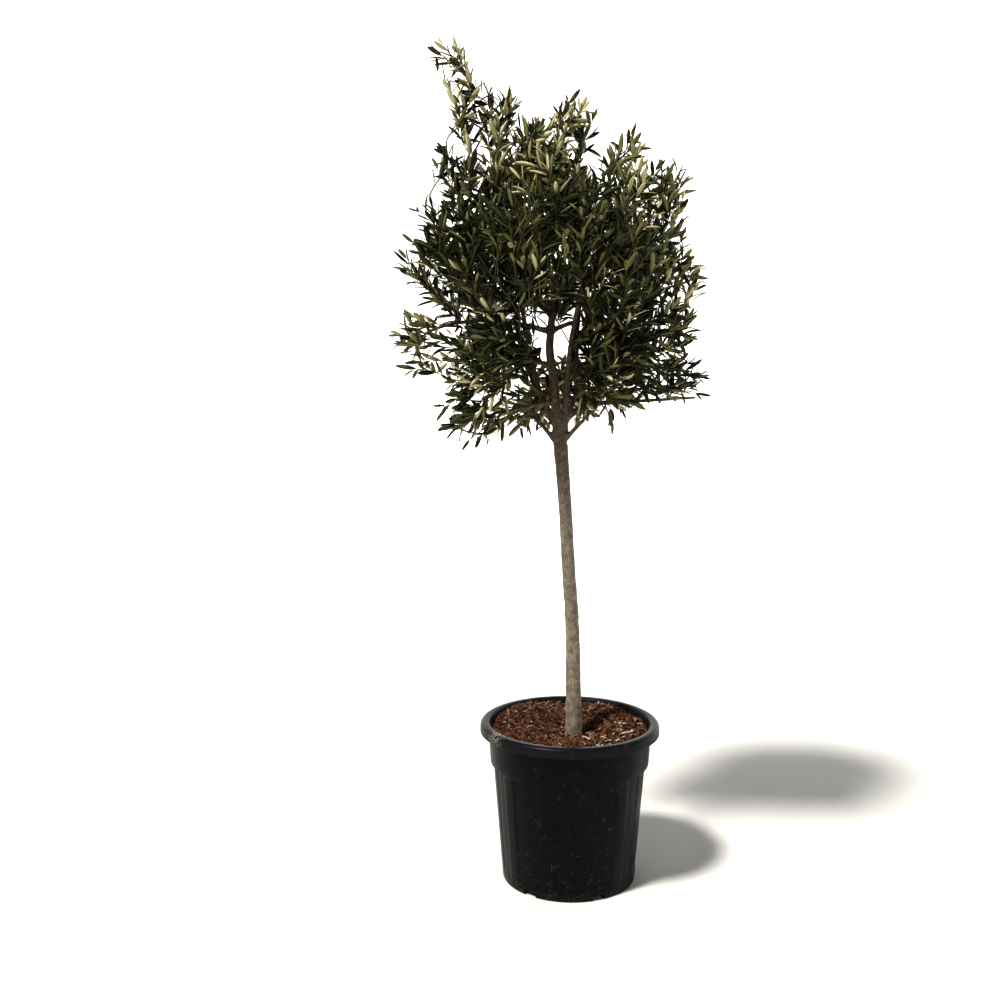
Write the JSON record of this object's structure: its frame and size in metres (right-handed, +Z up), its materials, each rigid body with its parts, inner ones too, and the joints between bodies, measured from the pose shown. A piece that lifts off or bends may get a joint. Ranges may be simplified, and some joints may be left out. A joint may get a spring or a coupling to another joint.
{
  "type": "potted olive tree",
  "caption": "Young olive tree on a slim clear trunk, with an open leafy crown of narrow grey-green leaves, standing in a tapered black plastic nursery pot.",
  "frame": {"origin": "on the pot's axis, on the flat underside that the pot stands on", "axes": "+Z up; -Y towards the front of the tree; +X to the right seen from the front"},
  "size_m": [0.5254, 0.4321, 1.4248],
  "materials": {
    "pot_plastic": "moulded black plastic, satin, lightly scratched",
    "compost": "loose reddish-brown bark compost with white grains",
    "bark": "smooth grey-brown young bark, finely mottled",
    "foliage": "leathery narrow leaves, dark olive green above and pale silvery green below"
  },
  "bodies": {
    "root": {"pot": "pot_plastic", "soil": "compost", "trunk": "bark", "bough_back": "bark", "bough_fork_left": "bark", "bough_fork_right": "bark", "bough_inner_right": "bark", "bough_left_lateral": "bark", "bough_left_upright": "bark", "bough_low_left": "bark", "bough_low_right": "bark", "bough_middle_left": "bark", "bough_middle_right": "bark", "bough_right_upright": "bark", "leader": "bark", "foliage_back": "foliage", "foliage_back_left": "foliage", "foliage_back_low": "foliage", "foliage_back_low_left": "foliage", "foliage_back_low_right": "foliage", "foliage_back_right": "foliage", "foliage_back_top": "foliage", "foliage_crown_top": "foliage", "foliage_front": "foliage", "foliage_front_left": "foliage", "foliage_front_low_left": "foliage", "foliage_front_low_right": "foliage", "foliage_front_right": "foliage", "foliage_heart": "foliage", "foliage_left": "foliage", "foliage_left_crest": "foliage", "foliage_left_shoot": "foliage", "foliage_left_shoulder": "foliage", "foliage_left_tip": "foliage", "foliage_low_left": "foliage", "foliage_low_middle": "foliage", "foliage_low_right": "foliage", "foliage_lower_left": "foliage", "foliage_middle_left": "foliage", "foliage_middle_right": "foliage", "foliage_right": "foliage", "foliage_right_crest": "foliage", "foliage_right_knob": "foliage", "foliage_right_lower": "foliage", "foliage_right_shoot": "foliage", "foliage_right_shoulder": "foliage", "foliage_right_tip": "foliage", "foliage_spire": "foliage", "foliage_spire_tip": "foliage", "foliage_upper_left": "foliage", "foliage_upper_middle": "foliage", "foliage_upper_right": "foliage"}
  },
  "joints": []
}
